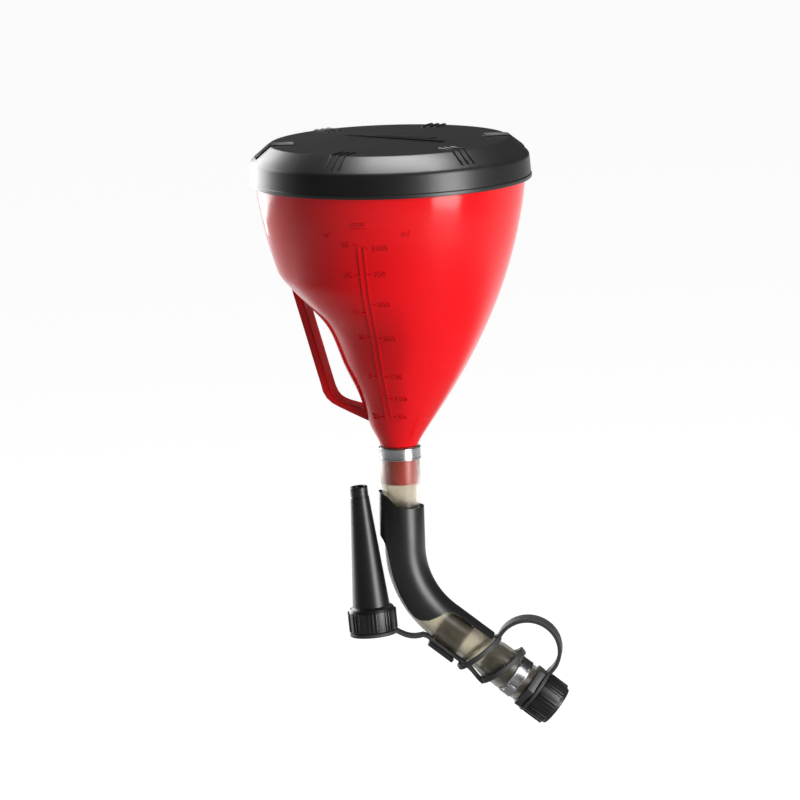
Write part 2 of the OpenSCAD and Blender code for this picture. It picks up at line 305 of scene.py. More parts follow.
def bar(name, stations, width, place=Matrix(), smooth=35):
    """A bar drawn through stations, each a pair of (x, z) edge points, of one width along Y."""
    put_down()
    bpy.ops.mesh.primitive_plane_add(size=MM)
    piece = bpy.context.object
    piece.name = name
    bpy.ops.object.mode_set(mode="EDIT")
    bpy.ops.mesh.select_all(action="SELECT")
    at, size, slope = Vector((0, 0, 0)), 1.0, 0.0
    for i, (outer, inner) in enumerate(stations):
        across = Vector((outer[0] - inner[0], 0, outer[1] - inner[1]))
        middle = Vector((outer[0] + inner[0], 0, outer[1] + inner[1])) / 2
        if i:
            bpy.ops.mesh.extrude_region_move(TRANSFORM_OT_translate={"value": (middle - at) * MM})
        else:
            bpy.ops.transform.translate(value=(middle - at) * MM)
            bpy.ops.transform.resize(value=(1, width, 1), center_override=middle * MM)
        grow = across.length / size
        new_slope = degrees(atan2(-across.z, across.x))
        bpy.ops.transform.resize(value=(grow, 1, grow), center_override=middle * MM)
        turn(new_slope - slope, "Y", middle)
        at, size, slope = middle, across.length, new_slope
    put_down()
    heal(piece)
    return settle(piece, place, smooth)


def through(table, height):
    """Smooth values between the rows of a table whose first column is the height."""
    rows = [table[0]] + list(table) + [table[-1]]
    i = max(k for k in range(1, len(rows) - 2) if rows[k][0] <= height or k == 1)
    a, b, c, d = rows[i - 1:i + 3]
    u = min(max((height - b[0]) / (c[0] - b[0]), 0), 1)
    values = []
    for k in range(1, len(b)):
        before = (c[k] - a[k]) / (c[0] - a[0]) * (c[0] - b[0])
        after = (d[k] - b[k]) / (d[0] - b[0]) * (c[0] - b[0])
        values.append(b[k] * (1 + 2 * u) * (1 - u) ** 2 + before * u * (1 - u) ** 2
                      + c[k] * u * u * (3 - 2 * u) + after * u * u * (u - 1))
    return values


# ---------------------------------------------------------------- bowl

def bowl_radius(height):
    """Radius of the bowl's round side at a height above the cone's underside."""
    ends = ((11.4, 0), (9.0, 5.0), (RIM_R - 6, 0.42 * BOWL_H), (RIM_R + 0.3, BOWL_H))
    low, high = 0.0, 1.0
    for _ in range(30):
        t = (low + high) / 2
        weights = ((1 - t) ** 3, 3 * t * (1 - t) ** 2, 3 * t * t * (1 - t), t ** 3)
        if sum(w * e[1] for w, e in zip(weights, ends)) < height:
            low = t
        else:
            high = t
    return sum(w * e[0] for w, e in zip(weights, ends))


# Height, reach from the axis on the handle's side, and how far the set-in wall's centre is aside
RELIEF = ((-30, 30, 0), (-6, 20, 0), (0, 12.0, 0.4), (12, 16.8, 1.5), (22, 19.6, 4.5), (33, 23.2, 7.6),
          (50, 30.9, 9.8), (66, 36.4, 12.0), (75, 40.5, 12.2), (80, 44.5, 11.0), (88, 52.4, 7.2),
          (101, 64.4, 2.4), (112, 74.0, 1.0), (122, 82.0, 0.5), (200, 100.0, 0))


def bowl_shell():
    """The moulded shell: spigot, cone and bowl, set in beside the handle for the fingers."""
    wall = Wall("bowl", SPIGOT_R - 0.6, -SPIGOT_LEN, sides=144)
    for height, radius in ((-22.4, SPIGOT_R - 0.05), (-21.4, SPIGOT_R), (-20.6, SPIGOT_R),
                           (-20.2, SPIGOT_R - 0.35), (-17.2, SPIGOT_R), (-16.4, SPIGOT_R),
                           (-16, SPIGOT_R - 0.35), (-1.0, SPIGOT_R - 0.3), (-0.2, SPIGOT_R - 0.1),
                           (0.0, 10.6), (0.5, 11.3)):
        wall.run(height - wall.at.z, radius)
    step = 2.25
    height = 2.0
    while height < BOWL_H - 7:
        wall.run(height - wall.at.z, bowl_radius(height))
        height += step
    rim = RIM_R + 1.5
    for height, radius in ((161.6, 80.2), (162, 80.6), (162.2, rim - 0.3), (162.6, rim), (167.2, rim),
                           (167.8, rim - 0.3), (BOWL_H, rim - 0.9)):
        wall.run(height - wall.at.z, radius)
    bowl = wall.done(closed=False)

    relief = Wall("relief", 30, -32, sides=144)
    height = -30.0
    while height < BOWL_H + 6:
        reach, aside = through(RELIEF, height)
        relief.run(height - relief.at.z, reach + aside, aside - relief.at.x)
        height += 2.0
    target = relief.done()
    modify(bowl, "SHRINKWRAP", target=target, wrap_method="NEAREST_SURFACEPOINT", wrap_mode="INSIDE")
    pick_up(target)
    bpy.ops.object.delete()

    settle(bowl)
    soft = bowl.vertex_groups.new(name="set in")
    soft.add([v.index for v in bowl.data.vertices if 9 < v.co.z / MM < 140], 1.0, "ADD")
    modify(bowl, "SMOOTH", factor=0.5, iterations=10, vertex_group="set in")
    edit(bowl)
    bpy.ops.mesh.normals_make_consistent(inside=False)
    put_down()
    return bowl


def on_wall(shell, across, up):
    """A place on the bowl's front, with X to the right, Y up the wall and Z outwards."""
    _, at, out, _ = shell.ray_cast(Vector((across, -200, up)) * MM, (0, 1, 0))
    right = Vector((0, 0, 1)).cross(out).normalized()
    return Matrix.Translation(at) @ Matrix((right, out.cross(right), out)).transposed().to_4x4()


def cube(name, size, at, place=Matrix(), round_off=0.0):
    """A block of a size, centred at a point, with its edges rounded off."""
    put_down()
    bpy.ops.mesh.primitive_cube_add(size=MM, location=Vector(at) * MM, scale=size)
    piece = bpy.context.object
    piece.name = name
    if round_off:
        bpy.ops.object.transform_apply(location=False, rotation=False, scale=True)
        modify(piece, "BEVEL", width=round_off * MM, segments=2)
    return settle(piece, place)


def lettering(words, size, side="CENTER"):
    """Raised figures, lying in the XY plane."""
    put_down()
    bpy.ops.object.text_add()
    piece = bpy.context.object
    piece.data.body = words
    piece.data.size = size * MM
    piece.data.align_x = side
    piece.data.align_y = "CENTER"
    piece.data.extrude = 0.45 * MM
    piece.data.resolution_u = 3
    bpy.ops.object.convert(target="MESH")
    piece.name = "figures"
    heal(piece)
    return piece


# Heights of the scale's marks, with their figures
ML_MARKS = ((129.0, "1000"), (113.0, "750"), (94.1, "500"), (72.0, "300"), (47.4, "150"), (32.9, "100"),
            (20.9, "50"))
OZ_MARKS = ((131.0, "35"), (112.4, "25"), (88.8, "15"), (72.0, "10"), (47.2, "5"), (20.4, "2,5"))
RIB_ASIDE = 1.75


def scale_marks(shell):
    """The scale moulded on the front: two long ribs, short ticks and small raised figures."""
    parts = []
    for side in (-1, 1):
        for k in range(26):
            place = on_wall(shell, side * RIB_ASIDE, 22.5 + 4.2 * k)
            parts.append(cube("rib", (0.9, 5.6, 0.9), (0, 0, 0), place))
    for marks, side in ((ML_MARKS, 1), (OZ_MARKS, -1)):
        for height, words in marks:
            start = side * RIB_ASIDE
            parts.append(cube("tick", (3.0, 0.8, 0.8), (side * 1.5, 0, 0), on_wall(shell, start, height)))
            figures = lettering(words, 4.8)
            middle = start + side * (4.2 + 1.35 * len(words.replace(",", "")))
            parts.append(settle(figures, on_wall(shell, middle, height)))
    for words, across, height in (("max", 0.2, 143.8), ("oz", -20.2, 137), ("ml", 26.4, 137.4)):
        parts.append(settle(lettering(words, 4.8), on_wall(shell, across, height)))
    parts.append(cube("line", (9, 0.8, 0.8), (0, 0, 0), on_wall(shell, 0.2, 140.8)))
    marks = join(*parts)
    marks.name = "scale marks"
    return settle(marks, BOWL)


# The handle's edges from the top root round to the cone: outer and inner points
GRIP = (((-72, 116), (-58, 100)), ((-66, 106), (-52.6, 90.5)), ((-64.2, 100), (-51.4, 85)),
        ((-61.6, 90), (-49.4, 77)), ((-56, 70), (-45.4, 62.5)), ((-49.6, 46.5), (-40.4, 44)),
        ((-47.1, 37.7), (-38, 35.4)), ((-45.9, 32.5), (-36.7, 32.2)), ((-43.4, 28), (-35.2, 30.2)),
        ((-39.8, 24.6), (-33.1, 28.8)), ((-35, 22.1), (-30, 27.6)), ((-27, 18.3), (-24.6, 26.2)),
        ((-16.8, 13.7), (-17.6, 24.6)), ((-11.5, 11.6), (-12.4, 24)))


def handle(core):
    """The handle: a flat bar with sunken side faces between raised borders, let into the bowl's wall."""
    grip = bar("handle", GRIP, HANDLE_W)
    for side in (-1, 1):
        pick_up(grip)
        for face in grip.data.polygons:
            face.select = face.normal.y * side > 0.9
        bpy.ops.object.mode_set(mode="EDIT")
        bpy.ops.mesh.select_mode(type="FACE")
        bpy.ops.mesh.inset(thickness=1.5 * MM, depth=0, use_even_offset=True)
        bpy.ops.mesh.inset(thickness=0.4 * MM, depth=-0.9 * MM, use_even_offset=True)
        bpy.ops.mesh.select_mode(type="VERT")
        put_down()
    modify(grip, "BEVEL", width=0.7 * MM, segments=2, limit_method="ANGLE", angle_limit=radians(40))
    cut(grip, core)
    return settle(grip, BOWL, 40)


def bowl():
    """The bowl with its handle and scale, as two pieces: the moulding and the marks on it."""
    outer = bowl_shell()
    core = copy_of(outer)
    heal(core)
    modify(core, "DISPLACE", strength=-0.9 * MM, mid_level=0)
    marks = scale_marks(outer)
    grip = handle(core)
    modify(outer, "SOLIDIFY", thickness=BOWL_WALL * MM, offset=-1)
    shell = join(settle(outer, BOWL, 30), grip)
    shell.name = "bowl"
    return settle(shell, smooth=30), marks


# ---------------------------------------------------------------- lid

def lid():
    """The lid: a flat top, a sloping shoulder and a skirt over the bowl's rim, with ribs for the grip."""
    place = lifted(LID_Z)
    body = turned("lid", ((1, LID_H), (LID_TOP_R, LID_H, 3), (SHOULDER_R, 14.2, 4), (83.2, 2.8, 0.8),
                          (SKIRT_R, 2.2, 0.4), (SKIRT_R, 0.1, 0.4), (82.2, 0, 0.3), (82.0, 9.3, 0.5),
                          (78.3, 13.1, 0.5), (70, LID_H - LID_WALL, 1), (1, LID_H - LID_WALL)),
                  sides=160, place=place)
    rib = bar("rib", (((55.9, 24.3), (55.9, 23.4)), ((56.8, 24.9), (56.8, 23.4)),
                      ((69.6, 24.9), (69.4, 23.4)), ((71.0, 24.5), (70.2, 23.1)),
                      ((79.4, 17.7), (78.4, 16.5)), ((79.9, 16.6), (79.0, 16.0))), 1.3)
    modify(rib, "BEVEL", width=0.25 * MM, segments=1)
    ribs = []
    for group in range(6):
        for step in (-4.2, 0, 4.2):
            around = Matrix.Rotation(radians(-175 + 60 * group), 4, "Z")
            ribs.append(copy_of(rib, place @ around @ Matrix.Translation((0, step * MM, 0))))
    pick_up(rib)
    bpy.ops.object.delete()
    aslant = place @ Matrix.Translation((3 * MM, 5 * MM, 0)) @ Matrix.Rotation(radians(-38.6), 4, "Z")
    rule = cube("rule", (75, 2.4, 2.2), (0, 0, LID_H - 0.2), aslant, 0.4)
    plate = cube("plate", (46, 8.5, 1.7), (-1, 8.5, LID_H - 0.2), aslant, 0.4)
    return settle(join(body, rule, plate, *ribs), smooth=30)


# ---------------------------------------------------------------- hose and its clamps

def hose():
    """The clear hose, wider where it is pushed over the spigot and the nipple."""
    wide, bore = SPIGOT_R + HOSE_WALL + 0.05, HOSE_R - HOSE_WALL
    far_wide, far_bore = wide + 0.2, 10.15
    start, lip, gripped, flare = 0.3, 0.4, 21.3, 6
    straight = STRAIGHT_DROP - start - lip - gripped - flare
    held = HOSE_PAST - SWELL_START - SWELL_LEN - lip
    centre = (BEND_R, 0, -STRAIGHT_DROP)
    wall = Wall("hose", wide - 0.4, -start, facing=-1, sides=72)
    for along, radius in ((lip, wide), (gripped, wide), (flare, HOSE_R), (straight, HOSE_R)):
        wall.run(along, radius)
    wall.bend(-BEND_ANGLE, centre, 24)
    for along, radius in ((SWELL_START - BEND_RUN, HOSE_R), (SWELL_LEN, far_wide), (held, far_wide),
                          (lip, wide - 0.2), (0, 10.4), (-lip, far_bore), (-held, far_bore),
                          (-SWELL_LEN, bore), (BEND_RUN - SWELL_START, bore)):
        wall.run(along, radius)
    wall.bend(BEND_ANGLE, centre, 24)
    for along, radius in ((-straight, bore), (-flare, SPIGOT_R + 0.05), (-gripped, SPIGOT_R + 0.05),
                          (-lip, SPIGOT_R + 0.3), (0, wide - 0.4)):
        wall.run(along, radius)
    return settle(wall.done(), smooth=50)


def clamp(name, inner, windows):
    """A bright band with rolled edges and an ear, and a number of windows pressed through it."""
    outer, middle = inner + 0.6, CLAMP_LEN / 2
    rolled = outer + 0.05
    strip = turned(name, ((inner, 0.1), (inner + 0.1, 0), (rolled, 0, 0.1), (rolled, 0.7, 0.2),
                          (outer - 0.1, 1, 0.1), (outer - 0.1, CLAMP_LEN - 1, 0.1),
                          (rolled, CLAMP_LEN - 0.7, 0.2), (rolled, CLAMP_LEN, 0.1),
                          (inner + 0.1, CLAMP_LEN), (inner, CLAMP_LEN - 0.1)))
    if windows:
        holes = []
        for k in range(windows):
            around = Matrix.Rotation(radians(150 + 13 * k), 4, "Z")
            holes.append(cube("window", (4, 1.3, 3.4), (outer, 0, middle), around))
        cut(strip, join(*holes))
    ear = cube("ear", (2.6, 6, 5.6), (outer + 0.9, 0, middle), round_off=0.5)
    fold = cube("fold", (0.5, 0.8, 6.6), (outer + 0.1, -7.5, middle), Matrix.Rotation(radians(20), 4, "Z"))
    return join(strip, ear, fold)


def clamps():
    """The upper clamp under the cone and the lower one over the nipple."""
    upper = clamp("upper clamp", UPPER_CLAMP_IN, 0)
    settle(upper, lifted(UPPER_CLAMP_Z) @ Matrix.Rotation(radians(90), 4, "Z"))
    lower = clamp("lower clamp", LOWER_CLAMP_IN, 6)
    settle(lower, OUTLET @ lifted(LOWER_CLAMP_AT) @ Matrix.Rotation(radians(-60), 4, "Z"))
    return upper, lower


# ---------------------------------------------------------------- bend holder

def beside(run, out):
    """A point (x, z) beside the hose's middle line, run along it from the spigot."""
    if run < STRAIGHT_DROP:
        return -out, -run
    part = (run - STRAIGHT_DROP) / BEND_R
    if part < radians(BEND_ANGLE):
        return BEND_R - (BEND_R + out) * cos(part), -STRAIGHT_DROP - (BEND_R + out) * sin(part)
    return outlet_point(out, BEND_RUN + (part - radians(BEND_ANGLE)) * BEND_R)


def outlet_point(out, along):
    """The point (x, z) of the outlet's frame in the plane of the bend."""
    a = radians(BEND_ANGLE)
    return along * sin(a) - out * cos(a), -CORNER_DROP - along * cos(a) - out * sin(a)


# How far out the holder's edge lies along the hose: the closed collar ends and the channel begins
HOLDER_EDGE = ((50.5, 15.5), (53.5, 13.6), (56, 11.6), (59, 10.2), (63, 9.2), (68, 8.7), (76, 8.5), (86, 8.5),
               (95, 8.7), (100, 8.4), (103.5, 6.8), (106.5, 3.2), (109, -2.4), (111.5, -7), (115.5, -9.4),
               (121, -10.1), (134, -10.1), (143, -10.2), (146.5, -11.2))


def bend_holder():
    """The black holder: a slanted collar, a channel open on the bend's outside, a spine and a rear clip."""
    lip = 0.3
    straight, past = STRAIGHT_DROP - HOLDER_TOP - lip, SPINE_END - BEND_RUN - lip
    centre = (BEND_R, 0, -STRAIGHT_DROP)
    wall = Wall("bend holder", HOLDER_R - 0.4, -HOLDER_TOP, facing=-1, sides=96)
    wall.run(lip, HOLDER_R)
    wall.run(straight)
    wall.bend(-BEND_ANGLE, centre, 28)
    for along, radius in ((past, HOLDER_R), (lip, HOLDER_R - 0.4), (0, HOLDER_IN + 0.2), (-lip, HOLDER_IN),
                          (-past, HOLDER_IN)):
        wall.run(along, radius)
    wall.bend(BEND_ANGLE, centre, 28)
    for along, radius in ((-straight, HOLDER_IN), (-lip, HOLDER_IN + 0.2), (0, HOLDER_R - 0.4)):
        wall.run(along, radius)
    holder = settle(wall.done())
    cut(holder, bar("outside", [(beside(run, 24), beside(run, edge)) for run, edge in HOLDER_EDGE], 40))
    cut(holder, bar("slant", [((x, -10), (x, z)) for x, z in (
        (-17, -26.4), (-12.5, -27.4), (-8, -30), (-3, -34.6), (1.5, -36.6), (8, -37), (17, -37))], 40))
    slit = cube("slit", (8, 1.6, 40), (13, 0, -45), Matrix.Rotation(radians(145), 4, "Z"))
    cut(holder, slit)

    inner, outer = HOLDER_IN + CLIP_SHIFT - 0.1, HOLDER_R + CLIP_SHIFT
    clip = turned("clip", ((inner, 0, 0.3), (outer, 0, 0.6), (outer, CLIP_LEN, 0.6), (inner, CLIP_LEN, 0.3)))
    cut(clip, cube("clip opening", (44, 30, 40), (0, -18, 9), Matrix.Rotation(radians(-4), 4, "Z")))
    settle(clip, OUTLET @ lifted(CLIP_START, CLIP_SHIFT))
    modify(holder, "BEVEL", width=0.35 * MM, segments=2, limit_method="ANGLE", angle_limit=radians(55))
    return settle(join(holder, clip), smooth=32)


# ---------------------------------------------------------------- outlet, cap and nozzle

def nipple():
    """The nipple: barbs inside the hose, a six-sided flange and a threaded spout."""
    bore = 6.5
    barb = SPIGOT_R + 0.2
    flange_len = SPOUT_START - FLANGE_START
    body = turned("nipple", ((bore, 62.3, 0.3), (8.6, 62.3, 0.3), (barb, 67.2), (barb, 67.9),
                             (barb - 0.4, 68.0), (barb, 73.5), (barb, 74.2), (barb - 0.4, 74.3),
                             (barb - 0.4, FLANGE_START - 0.1), (11.2, FLANGE_START),
                             (12.4, FLANGE_START + 1, 0.3), (12.4, 95.2, 0.3), (11.2, SPOUT_START, 0.2),
                             (9.4, SPOUT_START + 0.1), (9.4, 108, 0.3), (bore, 108.5, 0.3)))
    put_down()
    bpy.ops.mesh.primitive_cylinder_add(vertices=6, radius=14.7 * MM, depth=flange_len * MM,
                                        location=(0, 0, (FLANGE_START + flange_len / 2) * MM))
    hexagon = bpy.context.object
    modify(hexagon, "BEVEL", width=0.5 * MM, segments=2)
    cut(hexagon, turned("hole", ((8, 88), (9.5, 88), (9.5, 99), (8, 99)), sides=48))
    put_down()
    bpy.ops.mesh.primitive_circle_add(vertices=3, radius=1.15 * MM, fill_type="NGON",
                                      rotation=(pi / 2, pi / 6, 0), location=(9.55 * MM, 0, 98.2 * MM))
    thread = bpy.context.object
    bpy.ops.object.transform_apply(location=True, rotation=True, scale=True)
    turns, climb = 3, 8.4
    modify(thread, "SCREW", angle=2 * pi * turns, screw_offset=climb * MM, steps=180, render_steps=180,
           axis="Z")
    heal(thread)
    return settle(join(body, hexagon, thread), OUTLET, 35)


def grip_ribs(radius, length):
    """Eight groups of three ribs around a screw ring."""
    bottom = COLLAR_LEN + 0.5
    rib = cube("rib", (1.2, 1.3, length - bottom - 2.2), (radius - 0.65, 0, (bottom + length - 2.2) / 2),
               round_off=0.3)
    ribs = [copy_of(rib, Matrix.Rotation(radians(45 * group + 9 * k), 4, "Z"))
            for group in range(8) for k in (-1, 0, 1)]
    pick_up(rib)
    bpy.ops.object.delete()
    return ribs


def cap():
    """The screw cap, with a narrow collar that its strap's eye turns on."""
    body = turned("cap", ((THREAD_R, 0, 0.3), (COLLAR_R, 0, 0.3), (COLLAR_R, COLLAR_LEN),
                          (CAP_R - 0.9, COLLAR_LEN, 0.4), (CAP_R - 0.7, 14.6, 0.5), (CAP_R - 1.5, 16.4, 0.5),
                          (12.3, 17.6, 0.6), (10.6, CAP_LEN - 0.05, 0.3), (10.2, 17.3, 0.2), (1, 17.3),
                          (1, 14.8), (THREAD_R, 14.8, 0.2)))
    return settle(join(body, *grip_ribs(CAP_R, CAP_LEN)), OUTLET @ lifted(CAP_START), 35)


def nozzle():
    """The nozzle: a ribbed nut and a long slim cone with a straight tip."""
    body = turned("nozzle", ((THREAD_R, 0, 0.3), (COLLAR_R, 0, 0.3), (COLLAR_R, COLLAR_LEN),
                             (NUT_R - 0.9, COLLAR_LEN, 0.4), (NUT_R - 0.7, 14.4, 0.5),
                             (NUT_R - 1.6, 16.4, 0.6), (11.9, NUT_H, 0.6), (11.1, 17.5, 0.3),
                             (5.6, 83.2, 0.8), (TIP_R, 84.2, 0.4), (TIP_R, NOZZLE_LEN, 0.7),
                             (TIP_BORE, NOZZLE_LEN, 0.4), (TIP_BORE, 84), (9.4, 13.9), (9.4, 13.4),
                             (THREAD_R, 13.4, 0.2)))
    return settle(join(body, *grip_ribs(NUT_R, NUT_H)), NOZZLE, 35)


# ---------------------------------------------------------------- straps

def band(name, path, width=STRAP_W, thick=STRAP_T, place=Matrix()):
    """A flat strap along a path of (x, z) points, its edges rounded."""
    stations = []
    for i, here in enumerate(path):
        back, ahead = Vector(path[max(i - 1, 0)]), Vector(path[min(i + 1, len(path) - 1)])
        across = (ahead - back).normalized() * thick / 2
        here = Vector(here)
        stations.append(((here.x - across.y, here.y + across.x), (here.x + across.y, here.y - across.x)))
    piece = bar(name, stations, width, place)
    modify(piece, "BEVEL", width=0.35 * MM, segments=2, limit_method="ANGLE", angle_limit=radians(50))
    return piece


def strap_ring(name, inner, shift, along, tilt):
    """A ring of the strap around the hose, tilted as the strap runs."""
    half, outer = RING_W / 2, inner + RING_T
    place = OUTLET @ lifted(along, shift) @ Matrix.Rotation(radians(tilt), 4, "Y")
    return turned(name, ((inner, -half, 0.3), (outer, -half, 0.5), (outer, half, 0.5), (inner, half, 0.3)),
                  place=place)


def eye(name, place):
    """A strap's eye, which sits around a screw ring's collar."""
    return turned(name, ((EYE_IN, 0, 0.2), (EYE_R, 0, 0.5), (EYE_R, EYE_LEN, 0.5), (EYE_IN, EYE_LEN, 0.2)),
                  place=place)


def arc(start, end, radius, steps):
    """Points of an arc from start to end, the long way round on the left of the chord."""
    start, end = Vector(start), Vector(end)
    chord = end - start
    left = Vector((-chord.y, chord.x)).normalized()
    rise = sqrt(radius ** 2 - chord.length_squared / 4)
    middle = (start + end) / 2 + left * rise
    first = atan2(start.y - middle.y, start.x - middle.x)
    last = atan2(end.y - middle.y, end.x - middle.x)
    while last > first:
        last -= 2 * pi
    return [(middle.x + radius * cos(first + (last - first) * k / steps),
             middle.y + radius * sin(first + (last - first) * k / steps)) for k in range(steps + 1)]


def straps():
    """The cap's strap and the nozzle's strap, each a ring round the hose, a flat band and an eye."""
    cap_ring = strap_ring("cap strap ring", CAP_RING_IN, CAP_RING_SHIFT, CAP_RING_AT, CAP_RING_TILT)
    root = outlet_point(-12.75, 60.9)
    tip = outlet_point(-EYE_R + 1.2, CAP_START + EYE_LEN / 2)
    chord = Vector((tip[0] - root[0], 0, tip[1] - root[1]))
    foot = Matrix.Translation(Vector((root[0], 0, root[1])) * MM)
    leaning = foot @ Matrix.Rotation(radians(CAP_LOOP_LEAN), 4, chord) @ foot.inverted()
    loop = band("cap strap", arc(root, tip, CAP_LOOP_R, 28), width=9.6, thick=2.3, place=leaning)
    cap_eye = eye("cap eye", OUTLET @ lifted(CAP_START))

    ring = strap_ring("nozzle strap ring", NOZZLE_RING_IN, 0, NOZZLE_RING_AT, NOZZLE_RING_TILT)
    rise = NOZZLE_RING_IN + RING_T / 2 - HINGE_OUT
    flat = [outlet_point(HINGE_OUT, along) for along in (31, 38, 46, 54)]
    flat += [outlet_point(HINGE_OUT + rise * (1 - cos(pi * k / 6)) / 2, 55.6 + 2.4 * k) for k in range(7)]
    at_ring = OUTLET @ lifted(NOZZLE_RING_AT) @ Matrix.Rotation(radians(NOZZLE_RING_TILT), 4, "Y")
    lug = cube("lug", (3.4, 6, 4.6), (-14.6, 0, 0), at_ring, 0.8)
    runner = join(ring, band("runner", flat), lug)

    base = (NOZZLE_BASE[0], NOZZLE_BASE[2])
    lean = radians(NOZZLE_LEAN)
    reach = (base[0] + 13.0 * cos(lean), base[1] + 13.0 * sin(lean) + EYE_LEN / 2)
    pivot = outlet_point(HINGE_OUT, HINGE_AT)
    link_path = [outlet_point(HINGE_OUT, along) for along in (32, 30, 28, 26.5)]
    link_path += [Vector(pivot).lerp(Vector(reach), u) + Vector((0, -2.3)) * sin(pi * u)
                  for u in (0.06, 0.2, 0.35, 0.5, 0.65, 0.8, 0.92, 1)]
    link = band("nozzle strap", link_path, thick=2.1)
    nozzle_eye = eye("nozzle eye", NOZZLE)
    return cap_ring, loop, cap_eye, settle(runner), link, nozzle_eye, root, tip, pivot, reach


# ---------------------------------------------------------------- finishes

class Value:
    """A number or a vector inside a shader, worked with like a number."""

    def __init__(self, paint, socket):
        self.paint = paint
        self.socket = socket

    def math(self, how, *given):
        return self.paint.node("ShaderNodeMath", {"operation": how}, dict(enumerate(given)))

    def __add__(self, other): return self.math("ADD", self, other)
    def __radd__(self, other): return self.math("ADD", other, self)
    def __sub__(self, other): return self.math("SUBTRACT", self, other)
    def __rsub__(self, other): return self.math("SUBTRACT", other, self)
    def __mul__(self, other): return self.math("MULTIPLY", self, other)
    def __rmul__(self, other): return self.math("MULTIPLY", other, self)
    def __truediv__(self, other): return self.math("DIVIDE", self, other)
    def __rtruediv__(self, other): return self.math("DIVIDE", other, self)
    def __pow__(self, other): return self.math("POWER", self, other)

    def between(self, low, high):
        """0 below low, 1 above high, and smooth between them."""
        return self.paint.node("ShaderNodeMapRange", {"interpolation_type": "SMOOTHSTEP"},
                               {"Value": self, "From Min": low, "From Max": high})


class Paint:
    """A finish, built up one shader node at a time."""

    def __init__(self, name):
        self.material = bpy.data.materials.new(name)
        self.material.use_nodes = True
        self.tree = self.material.node_tree
        self.shader = self.tree.nodes["Principled BSDF"]
        self.place = self.node("ShaderNodeTexCoord", output="Object")

    def node(self, kind, settings=None, sockets=None, output=0):
        node = self.tree.nodes.new(kind)
        for name, value in (settings or {}).items():
            setattr(node, name, value)
        self.feed(node, sockets or {})
        return Value(self, node.outputs[output])

    def feed(self, node, sockets):
        for name, given in sockets.items():
            if isinstance(given, Value):
                self.tree.links.new(given.socket, node.inputs[name])
            else:
                node.inputs[name].default_value = given

    def surface(self, **sockets):
        self.feed(self.shader, {name.replace("_", " "): given for name, given in sockets.items()})

    def noise(self, grain, detail=2.0, place=None):
        """Noise from 0 to 1 whose grain is a size in millimetres."""
        return self.node("ShaderNodeTexNoise", {}, {"Vector": place or self.place, "Scale": 1000 / grain,
                                                    "Detail": detail})

    def mix(self, share, one, other):
        """One colour turning into another as share goes from 0 to 1."""
        return self.node("ShaderNodeMix", {"data_type": "RGBA"}, {0: share, 6: (*one, 1), 7: (*other, 1)}, 2)

    def bump(self, height, depth, strength=1.0):
        """A normal from a height, where depth is the height's full size in millimetres."""
        return self.node("ShaderNodeBump", {}, {"Strength": strength, "Distance": depth * MM,
                                                "Height": height})

    def axis(self, which):
        return self.node("ShaderNodeSeparateXYZ", {}, {0: self.place}, which)


def red_plastic():
    """Glossy red moulding with a very fine skin and flow marks you only see at a glance."""
    paint = Paint("red plastic")
    flow = paint.noise(38, 2)
    skin = paint.noise(0.9, 3)
    paint.surface(Base_Color=paint.mix(flow, (0.62, 0.002, 0.006), (0.53, 0.0015, 0.004)),
                  Roughness=0.10 + 0.06 * flow + 0.03 * skin,
                  Normal=paint.bump(skin + 2 * paint.noise(9, 1), 0.012, 0.6),
                  IOR=1.45, Specular_IOR_Level=0.28)
    return paint.material


def black_plastic(name, tone, dull, grain, depth):
    """Satin dark moulding with a fine erosion grain."""
    paint = Paint(name)
    skin = paint.noise(grain, 3)
    cloud = paint.noise(22, 2)
    paint.surface(Base_Color=paint.mix(cloud, [tone] * 3, [tone * 1.5] * 3),
                  Roughness=dull + 0.12 * skin + 0.06 * cloud,
                  Normal=paint.bump(skin, depth, 0.7), IOR=1.47, Specular_IOR_Level=0.45)
    return paint.material


def clear_hose():
    """Clear soft plastic, a little smoky and yellowish, blushed in random patches."""
    paint = Paint("clear hose")
    blush = paint.noise(16, 3)
    paint.surface(Base_Color=paint.mix(blush, (0.62, 0.56, 0.42), (0.54, 0.47, 0.33)),
                  Roughness=0.24 + 0.12 * blush, Normal=paint.bump(paint.noise(7, 2), 0.02, 0.5),
                  IOR=1.42, Transmission_Weight=0.94, Alpha=0.62)
    return paint.material


def steel():
    """Bright rolled band, brushed round its length."""
    paint = Paint("steel")
    stretched = paint.node("ShaderNodeMapping", {}, {"Vector": paint.place, "Scale": (0.15, 0.15, 1)})
    brushed = paint.noise(0.35, 3, stretched)
    paint.surface(Base_Color=paint.mix(paint.noise(5, 2), (0.40, 0.40, 0.41), (0.30, 0.30, 0.31)),
                  Metallic=1.0, Roughness=0.18 + 0.18 * brushed, Normal=paint.bump(brushed, 0.006, 0.5))
    return paint.material


def floor_paint():
    """Pale floor that glows far behind the funnel and is dim beneath and before it, so the red stays deep."""
    paint = Paint("floor")
    cloud = 0.03 * paint.noise(900, 2)
    far = ((paint.axis(0) ** 2 + paint.axis(1) ** 2) ** 0.5).between(0.9, 1.8)
    behind = 0.3 + 0.7 * paint.axis(1).between(-0.6, 0.8)
    paint.surface(Base_Color=paint.mix(far + cloud, (0.18, 0.18, 0.18), (0.5, 0.5, 0.5)),
                  Roughness=0.7 + cloud,
                  Emission_Color=paint.mix(far * behind, (0.12, 0.12, 0.12), (1, 1, 1)),
                  Emission_Strength=0.92)
    return paint.material


# ---------------------------------------------------------------- studio

